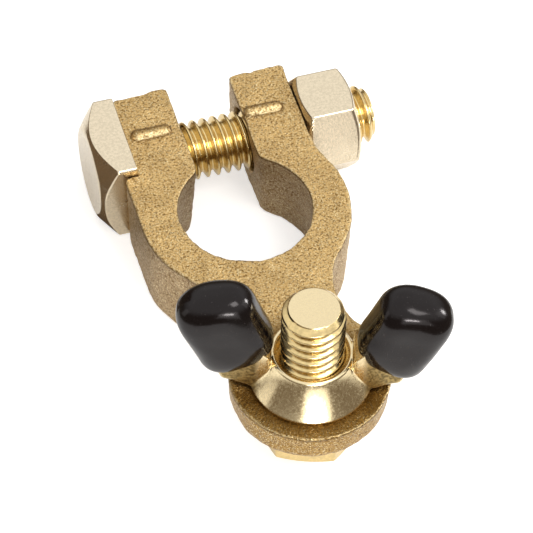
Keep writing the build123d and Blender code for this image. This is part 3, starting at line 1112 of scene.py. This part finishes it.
def add_cards(c):
    """Brown cards left of the square head, unseen by the camera, which keep its chamfer dark.

    One stands up. The other lies just above the floor, up to the head's foot, and shows only in reflections.
    """
    card = brown_card(c)
    away, lift, top = -38, 0.1, 45
    upright = ((away, 2, lift), (away, 60, lift), (away, 60, top), (away, 2, top))
    outline = ((away, 3), (-17.5, 3), (-17.5, 9), (-14, 10), (-14, 13.6), (away, 13.6))
    lying = tuple((x, y, lift) for x, y in outline)
    for name, corners, shades in (("upright_card", upright, True), ("lying_card", lying, False)):
        mesh = bpy.data.meshes.new(name)
        corners_mm = np.array(corners) + (0, 0, CASTING_LOW[2])
        mesh.from_pydata(corners_mm / MM, [], [tuple(range(len(corners)))])
        mesh.materials.append(card)
        flag = bpy.data.objects.new(name, mesh)
        bpy.context.scene.collection.objects.link(flag)
        flag.visible_camera = False
        flag.visible_shadow = flag.visible_diffuse = shades


def aim(azimuth, elevation):
    """Unit vector from the object in a direction given in radians: azimuth from -Y towards +X, elevation above
    the horizon.
    """
    flat = math.cos(elevation)
    return Vector((math.sin(azimuth) * flat, -math.cos(azimuth) * flat, math.sin(elevation)))


def add_lights(stage):
    """Softboxes that face the object. A softbox's power is its brightness * pi * its area.

    Each row has azimuth and elevation in degrees, distance, width and height in metres, and brightness.
    """
    boxes = (
        ("key_softbox", 30, 60, 0.75, 0.3, 0.3, stage.key),
        ("front_softbox", -6, 6, 0.75, 0.58, 0.4, stage.front),
        ("front_strip", -8, 10, 0.74, 0.3, 0.07, stage.strip),
        ("left_softbox", -97, 6, 0.8, 0.3, 0.4, stage.side),
        ("right_softbox", 70, 25, 0.8, 0.3, 0.4, stage.side),
        ("right_lamp", 88, 20, 0.75, 0.16, 0.16, stage.lamp),
    )
    for name, azimuth, elevation, distance, width, height, brightness in boxes:
        light = bpy.data.lights.new(name, "AREA")
        light.shape = "RECTANGLE"
        light.size, light.size_y = width, height
        light.energy = brightness * math.pi * width * height
        lamp = bpy.data.objects.new(name, light)
        way = aim(math.radians(azimuth), math.radians(elevation))
        lamp.location = way * distance
        lamp.rotation_mode = "QUATERNION"
        lamp.rotation_quaternion = way.to_track_quat("Z", "Y")
        lamp.visible_camera = False
        bpy.context.scene.collection.objects.link(lamp)


def add_surround(stage):
    """A white ceiling over a dark room gives polished metal dark bands. The camera sees plain white."""
    world = bpy.data.worlds.new("surround")
    world.use_nodes = True
    world.node_tree.nodes.clear()
    add = partial(add_node, world.node_tree)
    room_top, ceiling_start = 0.1, 0.5  # sines of the elevations between which the dark room turns to ceiling
    way = add("TexCoord", [], "Generated")
    height = add("MapRange", [add("SeparateXYZ", [way], "Z"), room_top, ceiling_start])
    tone = mix(add, height, stage.horizon, [stage.ceiling] * 3)
    seen = add("LightPath", [], "Is Camera Ray")
    shown = mix(add, seen, tone, (1.0, 1.0, 1.0))
    add("OutputWorld", {"Surface": add("Background", {"Color": shown, "Strength": 1.0})})
    bpy.context.scene.world = world


def add_camera(stage):
    """A long lens that looks down at the casting from the front left."""
    roll = stage.roll
    back = aim(stage.azimuth, stage.elevation)
    level_right = Vector((math.cos(stage.azimuth), math.sin(stage.azimuth), 0))
    level_up = back.cross(level_right)
    right = math.cos(roll) * level_right + math.sin(roll) * level_up
    up = -math.sin(roll) * level_right + math.cos(roll) * level_up
    data = bpy.data.cameras.new("camera")
    data.lens = stage.lens
    data.sensor_width = SENSOR_WIDTH
    data.clip_start, data.clip_end = 0.01, 20.0  # metres
    camera = bpy.data.objects.new("camera", data)
    bpy.context.scene.collection.objects.link(camera)
    foot = Vector((0, 0, CAD_BOX[0].z))
    camera.rotation_mode = "QUATERNION"
    camera.rotation_quaternion = Matrix((right, up, back)).transposed().to_quaternion()
    camera.location = foot + back * stage.distance + right * stage.aside + up * stage.above
    bpy.context.scene.camera = camera


class CLAMP_PT_panel(bpy.types.Panel):
    """Buttons that build each piece"""

    bl_idname = "CLAMP_PT_panel"
    bl_label = "Ground clamp"
    bl_space_type = "VIEW_3D"
    bl_region_type = "UI"
    bl_category = "Ground clamp"

    def draw(self, context):
        for operator in OPERATORS:
            self.layout.operator(operator.bl_idname)


OPERATORS = (
    CLAMP_OT_casting,
    CLAMP_OT_pinch_bolt,
    CLAMP_OT_pinch_nut,
    CLAMP_OT_stud_bolt,
    CLAMP_OT_wing_nut,
    CLAMP_OT_wing_caps,
    CLAMP_OT_stage,
)


def register():
    for group in GROUPS.values():
        bpy.utils.register_class(group)
    for name, group in GROUPS.items():
        setattr(bpy.types.Scene, name, PointerProperty(type=group))
    for operator in OPERATORS:
        bpy.utils.register_class(operator)
    bpy.utils.register_class(CLAMP_PT_panel)


def unregister():
    bpy.utils.unregister_class(CLAMP_PT_panel)
    for operator in reversed(OPERATORS):
        bpy.utils.unregister_class(operator)
    for name in GROUPS:
        delattr(bpy.types.Scene, name)
    for group in reversed(list(GROUPS.values())):
        bpy.utils.unregister_class(group)


def main():
    """Builds every piece and the stage."""
    register()
    bpy.ops.clamp.casting()
    bpy.ops.clamp.pinch_bolt()
    bpy.ops.clamp.pinch_nut()
    bpy.ops.clamp.stud_bolt()
    bpy.ops.clamp.wing_nut()
    bpy.ops.clamp.wing_caps()
    bpy.ops.clamp.stage()


if __name__ == "__main__":
    main()
